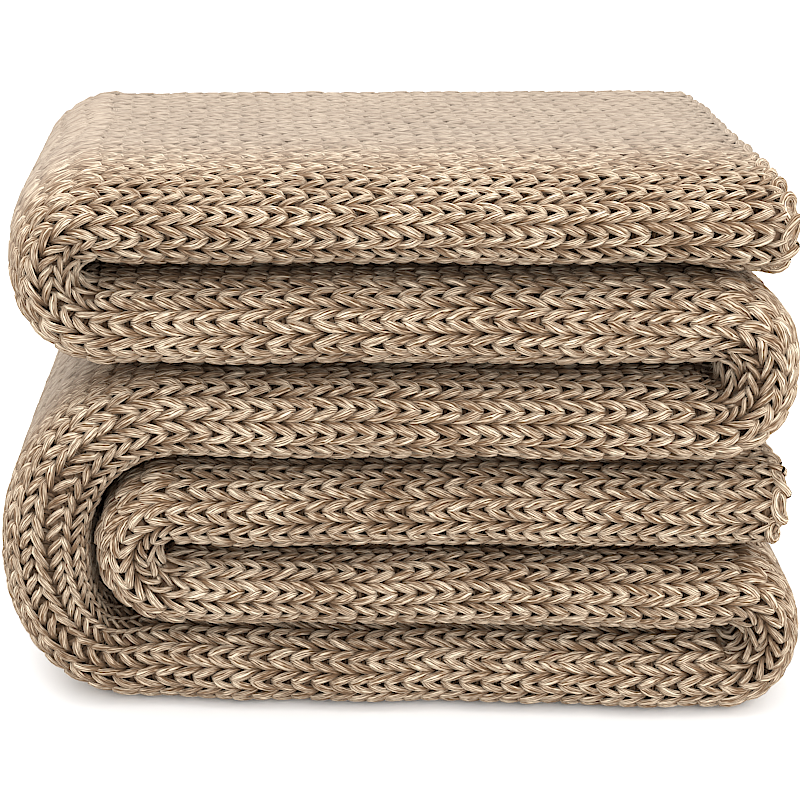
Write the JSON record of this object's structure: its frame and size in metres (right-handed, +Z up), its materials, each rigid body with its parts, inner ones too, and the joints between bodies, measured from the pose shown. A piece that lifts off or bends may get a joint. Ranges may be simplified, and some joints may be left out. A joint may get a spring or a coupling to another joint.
{
  "type": "weighted blanket",
  "caption": "Beige chunky knit weighted blanket, folded lengthwise and then back and forth into a stack that stands on its own.",
  "frame": {"origin": "on the floor, under the middle of the stack's box", "axes": "+X to the right along the layers, +Y from the front folds towards the back, +Z up"},
  "size_m": [0.357, 0.1882, 0.2396],
  "materials": {
    "beige_knit": "matt, chunky stockinette knit of loose multi-strand yarn"
  },
  "bodies": {
    "root": {"blanket": "beige_knit"}
  },
  "joints": []
}
